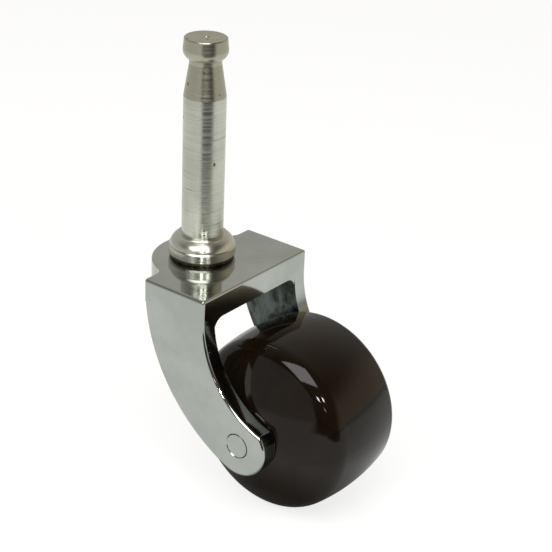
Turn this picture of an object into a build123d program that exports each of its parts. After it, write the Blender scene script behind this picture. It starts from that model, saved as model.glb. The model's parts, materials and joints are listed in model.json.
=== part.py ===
"""Grip-neck stem caster: turned stem, swivelling two-legged horn, axle and moulded wheel.

Millimetres.  The origin is on the stem axis at the top of the stem's collar, where the shank
leaves it.  +Z runs up the stem, +X points towards the trailing wheel and Y is the axle's direction.
"""

import math
import os

from build123d import *

os.makedirs("parts", exist_ok=True)

# ---------------------------------------------------------------- stem
stem_radius = 3.97            # 5/16 in shank
shank_top = 27.2              # end of the parallel shank
neck_radius = 3.0
neck_bottom = 33.3            # the cone narrows to the neck here
head_bottom = 34.4
stem_length = 38.1            # 1 1/2 in above the collar
head_radius = 4.15
head_bulge_height = 2.0       # widest part of the head, below its top
head_flat_radius = 3.93
centre_mark_radius = 0.3      # lathe centre in the head
centre_mark_depth = 0.45

# ---------------------------------------------------------------- collar
collar_height = 4.1
collar_radius = 6.4
collar_rim_height = 2.0       # cylindrical rim below the crease
collar_crease = 0.25          # width and depth of the crease above the rim
collar_shoulder_radius = 4.75  # narrow raised ring round the foot of the shank
collar_shoulder_height = 0.4
collar_edge = 0.3

# ---------------------------------------------------------------- swivel joint
journal_radius = 3.2          # part of the stem that turns in the horn
swivel_clearance = 0.06
axial_gap = 0.07
thrust_washer_radius = 6.15
thrust_washer_thickness = 0.6
retaining_washer_radius = 6.2
retaining_washer_thickness = 1.1
rivet_radius = 4.7            # peened end of the journal
rivet_height = 1.5

# ---------------------------------------------------------------- horn
plate_thickness = 4.7
horn_width = 30.6             # over the outside of both legs
leg_thickness = 3.3
leg_front_x = 13.45
leg_rear_x = -0.9
leg_rear_arc_radius = 33.0
leg_front_arc_top = 4.5       # depth below the plate's top where the front edge starts to curve
leg_tip_corner_angle = 36.0   # where the front edge meets the rounded tip, seen from the axle
leg_tip_radius = 6.2
plate_boss_radius = 10.7      # rounded rear of the plate
plate_boss_x = 1.5
plate_boss_blend = 2.5
inside_fillet = 2.4           # between the plate and each leg
outside_fillet = 0.6
top_fillet = 0.4
tip_corner_fillet = 1.0

# ---------------------------------------------------------------- axle and wheel
axle_x = 22.1                 # trail of the wheel behind the stem
axle_drop = 26.5              # axle below the plate's top
axle_radius = 2.38            # 3/16 in
axle_end_chamfer = 0.12
axle_washer_radius = 4.9
axle_washer_thickness = 0.3
axle_clearance = 0.06
bushing_radius = 3.5
axle_side_play = 0.1          # between the hub and each washer
wheel_radius = 17.7
wheel_middle_y = 2.2          # highest point of the crown
wheel_crown_radius = 46.0
flat_side_half_width = 9.3    # from the crown to the flat side, at +Y
flat_side_radius = 14.8
flat_side_crown_end = 7.9
domed_side_crown_end = 6.8    # the side at -Y is domed from the hub out to its shoulder
dome_outer_radius = 15.3
dome_outer_half_width = 9.7
dome_rise = 0.4               # how far the dome stands above a straight cone
hub_face_radius = 6.0
hub_step = 0.1                # the hub's ends stand this much proud of the wheel's sides

# ---------------------------------------------------------------- derived levels
collar_bottom = -collar_height
plate_top = collar_bottom - thrust_washer_thickness - axial_gap
plate_bottom = plate_top - plate_thickness
retaining_washer_top = plate_bottom - axial_gap
retaining_washer_bottom = retaining_washer_top - retaining_washer_thickness
rivet_bottom = retaining_washer_bottom - rivet_height
leg_outer_y = horn_width / 2
leg_inner_y = leg_outer_y - leg_thickness
axle_z = plate_top - axle_drop
half_hub = leg_inner_y - axle_washer_thickness - axle_side_play
axle_plane = Plane((axle_x, 0, axle_z), x_dir=(1, 0, 0), z_dir=(0, -1, 0))


def washer(plane, outer_radius, inner_radius, thickness, edge=0.1):
    """A flat washer that starts on a plane, with its outer corners broken."""
    with BuildPart() as ring:
        with BuildSketch(plane):
            Circle(outer_radius)
            Circle(inner_radius, mode=Mode.SUBTRACT)
        extrude(amount=thickness)
        rims = ring.edges().filter_by(GeomType.CIRCLE).filter_by(lambda e: e.radius > inner_radius + edge)
        chamfer(rims, edge)
    return ring.part


# ================================================================ stem
rim_top = collar_bottom + collar_rim_height
shoulder_z = -collar_shoulder_height
with BuildPart() as stem:
    with BuildSketch(Plane.XZ):
        with BuildLine():
            Polyline(
                (0, rivet_bottom),
                (rivet_radius * 0.45, rivet_bottom),
            )
            ThreePointArc(
                (rivet_radius * 0.45, rivet_bottom),
                (rivet_radius * 0.86, retaining_washer_bottom - rivet_height * 0.62),
                (rivet_radius, retaining_washer_bottom),
            )
            Polyline(
                (rivet_radius, retaining_washer_bottom),
                (journal_radius, retaining_washer_bottom),
                (journal_radius, collar_bottom),
                (collar_radius - collar_edge, collar_bottom),
                (collar_radius, collar_bottom + collar_edge),
                (collar_radius, rim_top - collar_crease),
                (collar_radius - collar_crease, rim_top),
            )
            ThreePointArc(
                (collar_radius - collar_crease, rim_top),
                (5.72, (rim_top + shoulder_z) / 2 + 0.12),
                (collar_shoulder_radius, shoulder_z),
            )
            Polyline(
                (collar_shoulder_radius, shoulder_z),
                (collar_shoulder_radius, shoulder_z + 0.2),
                (collar_shoulder_radius - 0.2, 0),
                (stem_radius, 0),
                (stem_radius, shank_top),
                (neck_radius, neck_bottom),
                (neck_radius, head_bottom - 0.3),
            )
            ThreePointArc(
                (neck_radius, head_bottom - 0.3),
                (head_radius - 0.32, head_bottom + 0.35),
                (head_radius, stem_length - head_bulge_height),
            )
            Line((head_radius, stem_length - head_bulge_height), (head_flat_radius + 0.05, stem_length - 0.15))
            Polyline(
                (head_flat_radius + 0.05, stem_length - 0.15),
                (head_flat_radius - 0.1, stem_length),
                (centre_mark_radius, stem_length),
                (0, stem_length - centre_mark_depth),
                (0, rivet_bottom),
            )
        make_face()
    revolve(axis=Axis.Z)
stem.part.label = "stem"
export_step(stem.part, "parts/stem.step")

# ================================================================ washers of the swivel
thrust_washer = washer(
    Plane.XY.offset(plate_top + axial_gap), thrust_washer_radius, journal_radius, thrust_washer_thickness
)
thrust_washer.label = "thrust_washer"
export_step(thrust_washer, "parts/thrust_washer.step")

retaining_washer = washer(
    Plane.XY.offset(retaining_washer_bottom),
    retaining_washer_radius,
    journal_radius,
    retaining_washer_thickness,
)
retaining_washer.label = "retaining_washer"
export_step(retaining_washer, "parts/retaining_washer.step")

# ================================================================ horn
# The rear edge of a leg is an arc that is tangent to the rounded tip around the axle.
rear_centre_x = leg_rear_x + leg_rear_arc_radius
centre_distance = leg_rear_arc_radius - leg_tip_radius
rear_centre_z = axle_z + math.sqrt(centre_distance**2 - (rear_centre_x - axle_x) ** 2)
tip_start_angle = math.degrees(math.atan2(axle_z - rear_centre_z, axle_x - rear_centre_x)) % 360
tip_arc_size = 360 + leg_tip_corner_angle - tip_start_angle
tip_corner = (
    axle_x + leg_tip_radius * math.cos(math.radians(leg_tip_corner_angle)),
    axle_z + leg_tip_radius * math.sin(math.radians(leg_tip_corner_angle)),
)
front_arc_top_z = plate_top - leg_front_arc_top

with BuildPart() as horn:
    with BuildSketch(Plane.XY.offset(plate_bottom)) as plate_outline:
        with Locations((plate_boss_x, 0)):
            Circle(plate_boss_radius)
        with Locations(((leg_rear_x + leg_front_x) / 2, 0)):
            Rectangle(leg_front_x - leg_rear_x, horn_width)
        inner_corners = plate_outline.vertices().filter_by_position(Axis.X, leg_rear_x - 0.1, leg_rear_x + 0.1)
        fillet(inner_corners.sort_by(lambda v: abs(v.Y))[:2], plate_boss_blend)
    extrude(amount=plate_thickness)
    for leg_plane in (Plane.XZ.offset(leg_inner_y), Plane.XZ.offset(-leg_outer_y)):
        with BuildSketch(leg_plane):
            with BuildLine():
                Line((leg_rear_x, plate_top), (leg_rear_x, rear_centre_z))
                CenterArc(
                    (rear_centre_x, rear_centre_z), leg_rear_arc_radius, 180, tip_start_angle - 180
                )
                CenterArc((axle_x, axle_z), leg_tip_radius, tip_start_angle, tip_arc_size)
                TangentArc((leg_front_x, front_arc_top_z), tip_corner, tangent=(0, -1))
                Polyline((leg_front_x, front_arc_top_z), (leg_front_x, plate_top), (leg_rear_x, plate_top))
            make_face()
        extrude(amount=leg_thickness)
    root_edges = (
        horn.edges()
        .filter_by(Axis.X)
        .filter_by_position(Axis.Z, plate_bottom - 0.1, plate_bottom + 0.1)
        .filter_by(lambda e: abs(abs(e.center().Y) - leg_inner_y) < 0.1)
    )
    fillet(root_edges, inside_fillet)
    tip_edges = horn.edges().filter_by(Axis.Y).filter_by(
        lambda e: abs(e.center().X - tip_corner[0]) < 0.1 and abs(e.center().Z - tip_corner[1]) < 0.1
    )
    fillet(tip_edges, tip_corner_fillet)
    outer_faces = horn.faces().filter_by(Axis.Y).sort_by(Axis.Y)
    outside_edges = (outer_faces[0].edges() + outer_faces[-1].edges()).filter_by(
        lambda e: e.center().Z < plate_top + 0.01
    )
    fillet(outside_edges, outside_fillet)
    top_edges = horn.edges().filter_by_position(Axis.Z, plate_top - 0.01, plate_top + 0.01)
    fillet(top_edges.filter_by(lambda e: abs(e.center().Y) < leg_outer_y - 1), top_fillet)
    with Locations((0, 0, plate_top)):
        Hole(journal_radius + swivel_clearance)
    with Locations(axle_plane):
        Hole(axle_radius)
    bore_rims = horn.edges().filter_by(GeomType.CIRCLE).filter_by(
        lambda e: abs(e.radius - axle_radius) < 0.01 and abs(abs(e.center().Y) - leg_outer_y) < 0.01
    )
    chamfer(bore_rims, axle_end_chamfer)
horn.part.label = "horn"
export_step(horn.part, "parts/horn.step")

# ================================================================ axle
with BuildPart() as axle:
    with BuildSketch(axle_plane):
        Circle(axle_radius)
    extrude(amount=leg_outer_y, both=True)
    chamfer(axle.edges().filter_by(GeomType.CIRCLE), axle_end_chamfer)
axle.part.label = "axle"
export_step(axle.part, "parts/axle.step")

# ================================================================ washers beside the wheel
with BuildPart() as axle_washers:
    for side in (-leg_inner_y, leg_inner_y - axle_washer_thickness):
        washer_plane = Plane((axle_x, side, axle_z), x_dir=(1, 0, 0), z_dir=(0, 1, 0))
        add(washer(washer_plane, axle_washer_radius, axle_radius, axle_washer_thickness))
axle_washers.part.label = "axle_washers"
export_step(axle_washers.part, "parts/axle_washers.step")

# ================================================================ steel bushing in the wheel
with BuildPart() as hub_bushing:
    with BuildSketch(axle_plane):
        Circle(bushing_radius)
        Circle(axle_radius + axle_clearance, mode=Mode.SUBTRACT)
    extrude(amount=half_hub, both=True)
hub_bushing.part.label = "hub_bushing"
export_step(hub_bushing.part, "parts/hub_bushing.step")

# ================================================================ wheel
# The section is drawn from the axle outwards, X being the radius and Y the axle's direction.
def crown_drop(half_width):
    """How far the crown falls from its highest point, at this distance from it."""
    return wheel_crown_radius - math.sqrt(wheel_crown_radius**2 - half_width**2)


flat_crown_end = (wheel_radius - crown_drop(flat_side_crown_end), flat_side_crown_end)
domed_crown_end = (wheel_radius - crown_drop(domed_side_crown_end), -domed_side_crown_end)
flat_crown_angle = math.asin(flat_side_crown_end / wheel_crown_radius)
domed_crown_angle = math.asin(domed_side_crown_end / wheel_crown_radius)
hub_near = -half_hub - wheel_middle_y
hub_far = half_hub - wheel_middle_y
dome_start = (hub_face_radius, hub_near + hub_step)
dome_end = (dome_outer_radius, -dome_outer_half_width)
dome_length = math.dist(dome_start, dome_end)
dome_middle = (
    (dome_start[0] + dome_end[0]) / 2 + dome_rise * (dome_end[1] - dome_start[1]) / dome_length,
    (dome_start[1] + dome_end[1]) / 2 - dome_rise * (dome_end[0] - dome_start[0]) / dome_length,
)
section_plane = Plane((axle_x, wheel_middle_y, axle_z), x_dir=(1, 0, 0), z_dir=(0, 0, 1))
with BuildPart() as wheel:
    with BuildSketch(section_plane):
        with BuildLine():
            CenterArc(
                (wheel_radius - wheel_crown_radius, 0),
                wheel_crown_radius,
                -math.degrees(domed_crown_angle),
                math.degrees(domed_crown_angle + flat_crown_angle),
            )
            TangentArc(
                flat_crown_end,
                (flat_side_radius, flat_side_half_width),
                tangent=(-math.sin(flat_crown_angle), math.cos(flat_crown_angle)),
            )
            Polyline(
                (flat_side_radius, flat_side_half_width),
                (hub_face_radius, flat_side_half_width),
                (hub_face_radius - hub_step, hub_far),
                (bushing_radius, hub_far),
                (bushing_radius, hub_near),
                (hub_face_radius - hub_step, hub_near),
                dome_start,
            )
            ThreePointArc(dome_start, dome_middle, dome_end)
            TangentArc(
                domed_crown_end,
                dome_end,
                tangent=(-math.sin(domed_crown_angle), -math.cos(domed_crown_angle)),
            )
        make_face()
    revolve(axis=Axis((axle_x, 0, axle_z), (0, 1, 0)))
wheel.part.label = "wheel"
export_step(wheel.part, "parts/wheel.step")
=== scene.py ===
"""Looks of the grip-neck stem caster: chromed horn, turned zinc-plated stem and a glossy brown wheel.

Metres, in the frame of the CAD: origin on the stem axis at the top of the collar, +Z up the stem,
+X towards the trailing wheel, Y along the axle. Azimuths turn from -Y towards +X.
"""

import json
import math

import bmesh
import bpy
from mathutils import Matrix, Quaternion, Vector


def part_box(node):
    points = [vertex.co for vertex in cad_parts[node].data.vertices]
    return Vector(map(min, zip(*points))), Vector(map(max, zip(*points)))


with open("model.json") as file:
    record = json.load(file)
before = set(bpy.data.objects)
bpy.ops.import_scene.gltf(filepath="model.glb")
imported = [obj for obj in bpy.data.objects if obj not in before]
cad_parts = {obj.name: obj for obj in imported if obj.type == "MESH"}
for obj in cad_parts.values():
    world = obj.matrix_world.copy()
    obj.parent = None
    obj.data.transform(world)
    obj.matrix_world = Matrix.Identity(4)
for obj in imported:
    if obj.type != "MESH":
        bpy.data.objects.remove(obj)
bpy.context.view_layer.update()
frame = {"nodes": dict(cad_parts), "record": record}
scene = bpy.context.scene
scene.view_settings.view_transform = "Standard"

wheel_low, wheel_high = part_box("wheel")
wheel_centre = (wheel_low + wheel_high) / 2
floor_z = wheel_low.z
stem_mount = next(mount for mount in frame["record"]["mounts"] if mount["name"] == "stem")
taper_start = stem_mount["dims"]["length_mm"] / 1000


# ---------------------------------------------------------------- shader helpers
class Nodes:
    """A node tree being built: add() makes a node, link() joins two sockets."""

    def __init__(self, tree):
        self.tree = tree

    def add(self, kind, **settings):
        node = self.tree.nodes.new(kind)
        for key, value in settings.items():
            setattr(node, key, value)
        return node

    def link(self, source, target):
        self.tree.links.new(source, target)

    def feed(self, target, value):
        """Gives a socket a constant, or links another socket to it."""
        if isinstance(value, bpy.types.NodeSocket):
            self.link(value, target)
        else:
            target.default_value = value

    def ramp(self, value, low, high, at_low=0.0, at_high=1.0):
        """value from low to high, mapped smoothly to at_low..at_high and held outside."""
        node = self.add("ShaderNodeMapRange", interpolation_type="SMOOTHSTEP")
        for socket, number in zip(node.inputs[1:5], (low, high, at_low, at_high)):
            socket.default_value = number
        self.link(value, node.inputs["Value"])
        return node.outputs["Result"]

    def math(self, operation, first, second=0.0):
        node = self.add("ShaderNodeMath", operation=operation)
        self.feed(node.inputs[0], first)
        self.feed(node.inputs[1], second)
        return node.outputs["Value"]

    def product(self, first, *others):
        for other in others:
            first = self.math("MULTIPLY", first, other)
        return first

    def mix(self, factor, first, second):
        """A colour between first and second, each a colour or a socket."""
        node = self.add("ShaderNodeMix", data_type="RGBA")
        for socket, value in ((node.inputs[6], first), (node.inputs[7], second)):
            self.feed(socket, (*value, 1.0) if isinstance(value, tuple) else value)
        self.link(factor, node.inputs[0])
        return node.outputs[2]

    def along(self, vector, direction):
        """How far a vector reaches along a direction."""
        node = self.add("ShaderNodeVectorMath", operation="DOT_PRODUCT")
        self.link(vector, node.inputs[0])
        node.inputs[1].default_value = direction
        return node.outputs["Value"]

    def length(self, vector):
        node = self.add("ShaderNodeVectorMath", operation="LENGTH")
        self.link(vector, node.inputs[0])
        return node.outputs["Value"]

    def minus(self, vector, origin):
        node = self.add("ShaderNodeVectorMath", operation="SUBTRACT")
        self.link(vector, node.inputs[0])
        node.inputs[1].default_value = origin
        return node.outputs["Vector"]

    def xyz(self, vector):
        """The three outputs of a vector, by name."""
        node = self.add("ShaderNodeSeparateXYZ")
        self.link(vector, node.inputs["Vector"])
        return node.outputs


class Shader(Nodes):
    """A material with one Principled shader over the object's own coordinates."""

    def __init__(self, name):
        self.material = bpy.data.materials.new(name)
        self.material.use_nodes = True
        super().__init__(self.material.node_tree)
        self.principled = self.tree.nodes["Principled BSDF"]
        texture_coordinates = self.add("ShaderNodeTexCoord")
        self.coordinates = texture_coordinates.outputs["Object"]
        self.normals = texture_coordinates.outputs["Normal"]

    def set(self, **values):
        """Sets the shader's own sockets; underscores stand for the spaces in their names."""
        for key, value in values.items():
            self.principled.inputs[key.replace("_", " ")].default_value = value

    def colour(self, socket):
        self.link(socket, self.principled.inputs["Base Color"])

    def roughness(self, socket):
        self.link(socket, self.principled.inputs["Roughness"])

    def stretched(self, scale):
        """The object's coordinates times a scale along each axis, per metre."""
        mapping = self.add("ShaderNodeMapping")
        mapping.inputs["Scale"].default_value = scale
        self.link(self.coordinates, mapping.inputs["Vector"])
        return mapping.outputs["Vector"]

    def noise(self, scale, detail=4.0, roughness=0.5, distortion=0.0):
        """Noise over the object's coordinates, stretched by a scale along each axis."""
        node = self.add("ShaderNodeTexNoise")
        node.inputs["Scale"].default_value = 1.0
        node.inputs["Detail"].default_value = detail
        node.inputs["Roughness"].default_value = roughness
        node.inputs["Distortion"].default_value = distortion
        self.link(self.stretched(scale), node.inputs["Vector"])
        return node.outputs["Fac"]

    def specks(self, scale, size):
        """1 at scattered specks, 0 elsewhere."""
        node = self.add("ShaderNodeTexVoronoi", feature="F1")
        node.inputs["Scale"].default_value = 1.0
        self.link(self.stretched(scale), node.inputs["Vector"])
        return self.ramp(node.outputs["Distance"], size * 0.6, size, 1.0, 0.0)

    def bump(self, *layers):
        """Layers of (height socket, depth in metres), one on the other."""
        last = None
        for socket, depth in layers:
            node = self.add("ShaderNodeBump")
            node.inputs["Strength"].default_value = 1.0
            node.inputs["Distance"].default_value = depth
            self.link(socket, node.inputs["Height"])
            if last:
                self.link(last, node.inputs["Normal"])
            last = node.outputs["Normal"]
        self.link(last, self.principled.inputs["Normal"])

    def turned_about_z(self, strength):
        """Stretches highlights along Z, as fine turning marks round Z do."""
        tangent = self.add("ShaderNodeTangent", direction_type="RADIAL", axis="Z")
        self.link(tangent.outputs["Tangent"], self.principled.inputs["Tangent"])
        self.set(Anisotropic=strength, Anisotropic_Rotation=0.25)


# ---------------------------------------------------------------- masks on the horn and the axle
def inside_fork(s):
    """1 on the faces that look at the wheel from the sides and above: rough casting where no wheel
    polishes, whose colour also carries painted shade.
    """
    place = s.xyz(s.coordinates)
    facing = s.xyz(s.normals)
    legs = s.ramp(s.product(place["Y"], facing["Y"]), -0.010, -0.005, 1.0, 0.0)
    faces_down = s.ramp(facing["Z"], -0.9, -0.5, 1.0, 0.0)
    inside_plate = s.ramp(place["Z"], -0.0092, -0.0088)
    above_legs = s.ramp(place["Z"], -0.0125, -0.0115)
    ceiling = s.product(faces_down, s.math("SUBTRACT", above_legs, inside_plate))
    return s.math("MAXIMUM", legs, ceiling)


def leg_fronts(s):
    """1 on the narrow front faces of the legs, below the plate, that curve round the wheel."""
    facing = s.xyz(s.normals)
    forward = s.ramp(facing["X"], 0.08, 0.25)
    low = s.ramp(s.xyz(s.coordinates)["Z"], -0.018, -0.013, 1.0, 0.0)
    not_sideways = s.ramp(s.math("ABSOLUTE", facing["Y"]), 0.1, 0.3, 1.0, 0.0)
    return s.product(forward, low, not_sideways)


def end_corner_shade(s):
    """1 on the broken corners of the axle's ends, which get painted shade that dims their glints."""
    sideways = s.math("ABSOLUTE", s.xyz(s.normals)["Y"])
    return s.math("SUBTRACT", s.ramp(sideways, 0.2, 0.4), s.ramp(sideways, 0.9, 0.98))


# ---------------------------------------------------------------- materials
def zinc_steel():
    """Bright zinc-plated steel as it left the lathe: rings round the shank, a smoother collar."""
    s = Shader("zinc_steel")
    height = s.xyz(s.coordinates)["Z"]
    collar = s.ramp(height, -0.0006, 0.0002, 1.0, 0.0)
    neck = s.ramp(height, taper_start - 0.0004, taper_start + 0.0003)
    cloud = s.noise((160, 160, 90), detail=3)

    rings = s.noise((6, 6, 2600), detail=5, roughness=0.7)
    broad_rings = s.noise((3, 3, 700), detail=3, roughness=0.6)
    shank = s.product(
        s.ramp(height, 0.0, 0.002), s.ramp(height, taper_start - 0.0012, taper_start + 0.0013, 1.0, 0.25)
    )
    ring_height = s.product(s.math("ADD", rings, broad_rings), shank)
    scratches = s.product(s.ramp(s.noise((90, 90, 3000), detail=2), 0.67, 0.74), shank)
    nicks = s.specks((330, 330, 210), 0.10)

    plain = s.mix(s.ramp(cloud, 0.35, 0.7), (0.52, 0.53, 0.465), (0.65, 0.66, 0.58))
    ringed = s.mix(s.ramp(rings, 0.42, 0.30), plain, (0.36, 0.36, 0.33))
    scratched = s.mix(scratches, ringed, (0.20, 0.19, 0.16))
    darker_neck = s.mix(neck, scratched, (0.48, 0.47, 0.385))
    polished = s.mix(collar, darker_neck, (0.60, 0.60, 0.535))
    s.colour(s.mix(nicks, polished, (0.12, 0.11, 0.10)))

    between = s.add("ShaderNodeMix", data_type="FLOAT")
    s.link(collar, between.inputs[0])
    s.link(s.ramp(s.noise((5, 5, 1500), detail=4), 0.3, 0.7, 0.20, 0.36), between.inputs[2])
    s.link(s.ramp(cloud, 0.3, 0.7, 0.24, 0.34), between.inputs[3])
    s.roughness(between.outputs[0])
    s.set(Metallic=1.0)
    s.turned_about_z(0.6)
    s.bump((ring_height, 0.00002), (s.noise((420, 420, 420), detail=2), 0.000006), (nicks, -0.00002))
    return s


def chrome(name):
    """Polished chrome over a casting: mirror bright, with faint waves, haze and hairlines.

    Returns the shader, the colour of the polished faces and their roughness, for a caller to finish.
    """
    s = Shader(name)
    haze = s.noise((75, 75, 75), detail=5, roughness=0.6)
    fine = s.noise((1500, 1500, 1500), detail=3)
    hairlines = s.noise((2200, 60, 260), detail=5, roughness=0.7, distortion=0.4)
    polished = s.mix(s.ramp(haze, 0.35, 0.68), (0.435, 0.465, 0.43), (0.515, 0.54, 0.505))
    dullness = s.math("ADD", s.ramp(haze, 0.35, 0.7, 0.045, 0.10), s.ramp(hairlines, 0.55, 0.75, 0.0, 0.05))
    dullness = s.math("ADD", dullness, s.ramp(fine, 0.4, 0.8, 0.0, 0.03))
    s.set(Metallic=1.0)
    s.bump((s.noise((130, 130, 130), detail=1), 0.00003), (hairlines, 0.0000012))
    return s, polished, dullness


def chrome_horn():
    """Chrome that stays rough inside the fork, with painted shade there that deepens towards the plate, and
    a painted dark reflection of the wheel on the narrow fronts of the legs.
    """
    s, polished, dullness = chrome("chrome_horn")
    inside = inside_fork(s)
    casting = s.noise((260, 260, 150), detail=6, roughness=0.7, distortion=0.6)
    # Inside the fork: partly the colour of the rough casting, partly painted shade of the cavity.
    rough_and_shaded = s.mix(s.ramp(casting, 0.38, 0.62), (0.018, 0.022, 0.020), (0.105, 0.125, 0.115))
    # Painted shade: the inside of the fork darkens towards the plate.
    painted_shade_under_plate = s.mix(s.ramp(s.xyz(s.coordinates)["Z"], -0.015, -0.0105), rough_and_shaded, (0.012, 0.014, 0.012))
    # Painted reflection of the dark wheel on the fronts of the legs.
    painted_wheel_reflection = s.mix(leg_fronts(s), polished, (0.18, 0.195, 0.18))
    s.colour(s.mix(inside, painted_wheel_reflection, painted_shade_under_plate))
    s.roughness(s.math("ADD", dullness, s.product(inside, 0.2)))
    return s


def chrome_axle():
    """Chrome with painted shade on the broken corners of its ends."""
    s, polished, dullness = chrome("chrome_axle")
    # Painted shade on the broken corners of the ends.
    s.colour(s.mix(end_corner_shade(s), polished, (0.045, 0.045, 0.038)))
    s.roughness(dullness)
    return s


def brown_plastic():
    """Dark brown moulded plastic with a deep gloss, faint swirls, and scuffs round the tread."""
    s = Shader("brown_plastic")
    swirl = s.noise((110, 60, 110), detail=6, roughness=0.6, distortion=1.6)
    blotch = s.noise((38, 38, 38), detail=2)
    scuffs = s.noise((300, 2600, 300), detail=5, roughness=0.7)
    base = s.mix(s.ramp(swirl, 0.3, 0.7), (0.0050, 0.0026, 0.0010), (0.0090, 0.0050, 0.0022))
    s.colour(s.mix(s.ramp(blotch, 0.45, 0.75), base, (0.0110, 0.0062, 0.0030)))
    s.roughness(s.math("ADD", s.ramp(blotch, 0.3, 0.7, 0.05, 0.10), s.ramp(scuffs, 0.58, 0.8, 0.0, 0.10)))
    s.set(IOR=1.52, Specular_IOR_Level=0.27)
    s.bump((s.noise((240, 240, 240), detail=2), 0.000012), (scuffs, 0.000001))
    return s


def oiled_washer():
    """Blackened steel wet with old oil."""
    s = Shader("oiled_washer")
    film = s.noise((700, 700, 1400), detail=4, roughness=0.6)
    s.colour(s.mix(s.ramp(film, 0.35, 0.7), (0.016, 0.012, 0.007), (0.075, 0.060, 0.028)))
    s.roughness(s.ramp(film, 0.3, 0.7, 0.18, 0.42))
    s.set(Metallic=0.6)
    s.bump((film, 0.00002))
    return s


def machined_steel(name, tint, scale):
    """Plain machined steel with tool marks, a little tarnished."""
    s = Shader(name)
    marks = s.noise(scale, detail=5, roughness=0.7)
    tarnish = s.noise((260, 260, 260), detail=4)
    tarnished = tuple(0.72 * channel for channel in tint)
    s.colour(s.mix(s.ramp(tarnish, 0.35, 0.7), tint, tarnished))
    s.roughness(s.ramp(marks, 0.3, 0.7, 0.16, 0.34))
    s.set(Metallic=1.0)
    s.bump((marks, 0.000006))
    return s


WASHER_TINT = (0.50, 0.50, 0.47)
BUSHING_TINT = (0.42, 0.41, 0.38)
looks = {
    "stem": zinc_steel(),
    "horn": chrome_horn(),
    "wheel": brown_plastic(),
    "axle": chrome_axle(),
    "thrust_washer": oiled_washer(),
    "retaining_washer": machined_steel("washer_steel", WASHER_TINT, (900, 900, 900)),
    "axle_washers": machined_steel("axle_washer_steel", WASHER_TINT, (900, 500, 900)),
    "hub_bushing": machined_steel("bushing_steel", BUSHING_TINT, (300, 2400, 300)),
}
for name, shader in looks.items():
    data = frame["nodes"][name].data
    data.materials.clear()
    data.materials.append(shader.material)


# ---------------------------------------------------------------- floor and what surrounds it
FLOOR_SIZE = 8.0
REFLECTED_FLOOR_DROP = 0.0002   # the sheet that reflections see lies this far below the floor
# The white card bends round the wheel. Its top edge is level, and its right-hand end slants to its foot.
CARD_DISTANCE = 0.5
CARD_FOOT_DROP = 0.01           # how far the foot lies below the floor
CARD_AZIMUTHS = (-120, 8)       # degrees between which the top edge is level
CARD_STEPS = 8
CARD_ELEVATION = 27             # of the level edge, in degrees from the wheel
CARD_TOE_AZIMUTH = 22           # degrees, where the slanted end meets the foot


def emission_material(name, colour, strength, diffuse=(0, 0, 0)):
    material = bpy.data.materials.new(name)
    material.use_nodes = True
    sockets = material.node_tree.nodes["Principled BSDF"].inputs
    sockets["Base Color"].default_value = (*diffuse, 1)
    sockets["Roughness"].default_value = 0.9
    sockets["Specular IOR Level"].default_value = 0.1
    sockets["Emission Color"].default_value = (*colour, 1)
    sockets["Emission Strength"].default_value = strength
    return material


def staged(name, form, material, unseen_by=()):
    """A stage piece from a bmesh, hidden from some kinds of ray."""
    mesh = bpy.data.meshes.new(name)
    form.to_mesh(mesh)
    form.free()
    mesh.materials.append(material)
    piece = bpy.data.objects.new(name, mesh)
    scene.collection.objects.link(piece)
    for ray in unseen_by:
        setattr(piece, "visible_" + ray, False)
    return piece


def level_sheet():
    form = bmesh.new()
    bmesh.ops.create_grid(form, x_segments=1, y_segments=1, size=FLOOR_SIZE / 2)
    return form


def upright_sheet():
    """The white card: it stands on the floor to the left of the wheel, as the camera sees it."""
    first, last = CARD_AZIMUTHS
    top_z = wheel_centre.z + CARD_DISTANCE * math.tan(math.radians(CARD_ELEVATION))
    foot_z = floor_z - CARD_FOOT_DROP
    form = bmesh.new()

    def corner(azimuth, z):
        a = math.radians(azimuth)
        x = wheel_centre.x + CARD_DISTANCE * math.sin(a)
        y = wheel_centre.y - CARD_DISTANCE * math.cos(a)
        return form.verts.new((x, y, z))

    azimuths = [first + (last - first) * i / CARD_STEPS for i in range(CARD_STEPS + 1)]
    posts = [(corner(azimuth, top_z), corner(azimuth, foot_z)) for azimuth in azimuths]
    for left, right in zip(posts, posts[1:]):
        form.faces.new((left[0], left[1], right[1], right[0]))
    form.faces.new((*posts[-1], corner(CARD_TOE_AZIMUTH, foot_z)))
    return form


def wall_round_floor():
    form = bmesh.new()
    bmesh.ops.create_cone(
        form, segments=48, cap_ends=False, radius1=FLOOR_SIZE / 2, radius2=FLOOR_SIZE / 2, depth=FLOOR_SIZE
    )
    return form


def table_in_reflections():
    """The white table as the object mirrors it: bright close by, dimmer far away, shaded under the wheel
    and dark on the camera's side."""
    material = bpy.data.materials.new("table_in_reflections")
    material.use_nodes = True
    n = Nodes(material.node_tree)
    n.tree.nodes.clear()
    place = n.add("ShaderNodeTexCoord").outputs["Object"]
    from_wheel = n.minus(place, (wheel_centre.x, wheel_centre.y, 0.0))

    far = n.ramp(n.length(place), 0.14, 0.60, 0.86, 0.50)
    under_wheel = n.ramp(n.length(from_wheel), 0.010, 0.030, 0.12, 1.0)
    in_front = n.ramp(n.along(place, (0.77, -0.64, 0.0)), 0.106, 0.130)
    right_of_card = n.ramp(n.along(from_wheel, (0.94, 0.34, 0.0)), -0.005, 0.020)
    near_side = n.ramp(n.along(from_wheel, (0.0, -1.0, 0.0)), -0.03, 0.05)
    camera_side = n.product(in_front, right_of_card, near_side)
    open_side = n.math("SUBTRACT", 1.0, n.product(camera_side, 0.94))

    glow = n.add("ShaderNodeEmission")
    glow.inputs["Color"].default_value = (0.97, 0.98, 0.95, 1)
    n.link(n.product(open_side, far, under_wheel), glow.inputs["Strength"])
    out = n.add("ShaderNodeOutputMaterial")
    n.link(glow.outputs["Emission"], out.inputs["Surface"])
    return material


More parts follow.
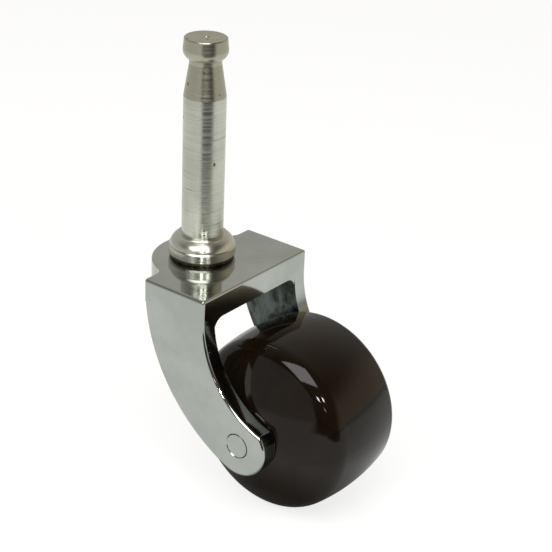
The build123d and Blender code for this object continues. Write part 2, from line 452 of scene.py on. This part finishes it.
ALL_BUT_CAMERA = ("diffuse", "glossy", "shadow", "transmission", "volume_scatter")
ALL_BUT_REFLECTIONS = ("camera", "diffuse", "shadow", "transmission", "volume_scatter")

pale_floor = emission_material("pale_floor", (1.0, 1.0, 0.99), 0.80, diffuse=(0.28, 0.28, 0.28))
floor = staged("floor", level_sheet(), pale_floor, unseen_by=("glossy",))
floor.location.z = floor_z
pale_wall = emission_material("backdrop", (1.0, 1.0, 0.99), 0.93)
staged("backdrop", wall_round_floor(), pale_wall, unseen_by=ALL_BUT_CAMERA)
table = staged("table_reflection", level_sheet(), table_in_reflections(), unseen_by=ALL_BUT_REFLECTIONS)
table.location.z = floor_z - REFLECTED_FLOOR_DROP
card = emission_material("card", (1.0, 0.99, 0.96), 0.5)
staged("white_card", upright_sheet(), card, unseen_by=ALL_BUT_REFLECTIONS)

# ---------------------------------------------------------------- lamps and room
AIM = Vector((0.01, 0, -0.01))
OVERHEAD_TURN = math.radians(32.7)   # its long side runs roughly to the camera's right


def soft_box(name, place, size, watts, turn=0.0):
    """A rectangular lamp that points at the middle of the object, turned about that line of sight."""
    lamp = bpy.data.lights.new(name, "AREA")
    lamp.shape = "RECTANGLE"
    lamp.size, lamp.size_y = size
    lamp.energy = watts
    box = bpy.data.objects.new(name, lamp)
    scene.collection.objects.link(box)
    box.location = place
    towards = (AIM - Vector(place)).to_track_quat("-Z", "Y")
    box.rotation_euler = (towards @ Quaternion((0, 0, 1), turn)).to_euler()


soft_box("overhead", (0.174, -0.40, 0.66), (0.76, 0.44), 5.2, turn=OVERHEAD_TURN)
soft_box("bulb_left", (0.47, -0.56, 0.34), (0.06, 0.06), 0.6)
soft_box("bulb_right", (0.61, -0.33, 0.41), (0.06, 0.06), 0.6)
soft_box("bulb_low", (0.61, -0.50, 0.24), (0.05, 0.05), 0.06)

BEHIND = (-0.75, 0.66, 0.0)
RIGHT_AND_LOW = (0.66, 0.75, -0.5)
DIM_ROOM = (0.09, 0.078, 0.06)
BRIGHT_ROOM = (0.54, 0.52, 0.48)
WARM_WALL = (0.72, 0.61, 0.46)


def light_the_room():
    """The room: bright behind the object, warm low down to its right, dim where the camera stands."""
    world = bpy.data.worlds.new("room")
    scene.world = world
    world.use_nodes = True
    n = Nodes(world.node_tree)
    direction = n.add("ShaderNodeTexCoord").outputs["Generated"]
    from_camera_to_back = n.add("ShaderNodeMapRange")
    from_camera_to_back.inputs["From Min"].default_value = -1.0
    n.link(n.along(direction, BEHIND), from_camera_to_back.inputs["Value"])
    colours = n.add("ShaderNodeValToRGB")
    stops = colours.color_ramp.elements
    for stop, position, colour in zip(stops, (0.42, 0.85), (DIM_ROOM, BRIGHT_ROOM)):
        stop.position = position
        stop.color = (*colour, 1)
    n.link(from_camera_to_back.outputs["Result"], colours.inputs["Fac"])
    warm = n.ramp(n.along(direction, RIGHT_AND_LOW), 0.45, 0.85)
    n.link(n.mix(warm, colours.outputs["Color"], WARM_WALL), n.tree.nodes["Background"].inputs["Color"])


light_the_room()

# ---------------------------------------------------------------- camera
CAMERA_PLACE = (0.16594, -0.19659, 0.11739)
AZIMUTH, PITCH, ROLL = map(math.radians, (36.98, 26.15, 2.52))

camera_data = bpy.data.cameras.new("camera")
camera_data.sensor_width = 36.0
camera_data.lens = 97.2
camera_data.clip_start = 0.01
camera = bpy.data.objects.new("camera", camera_data)
scene.collection.objects.link(camera)
forward = Vector(
    (-math.sin(AZIMUTH) * math.cos(PITCH), math.cos(AZIMUTH) * math.cos(PITCH), -math.sin(PITCH))
)
level_right = Vector((math.cos(AZIMUTH), math.sin(AZIMUTH), 0))
level_up = level_right.cross(forward)
right = level_right * math.cos(ROLL) + level_up * math.sin(ROLL)
up = level_up * math.cos(ROLL) - level_right * math.sin(ROLL)
turned = Matrix((right, up, -forward)).transposed().to_4x4()
camera.matrix_world = Matrix.Translation(CAMERA_PLACE) @ turned
scene.camera = camera
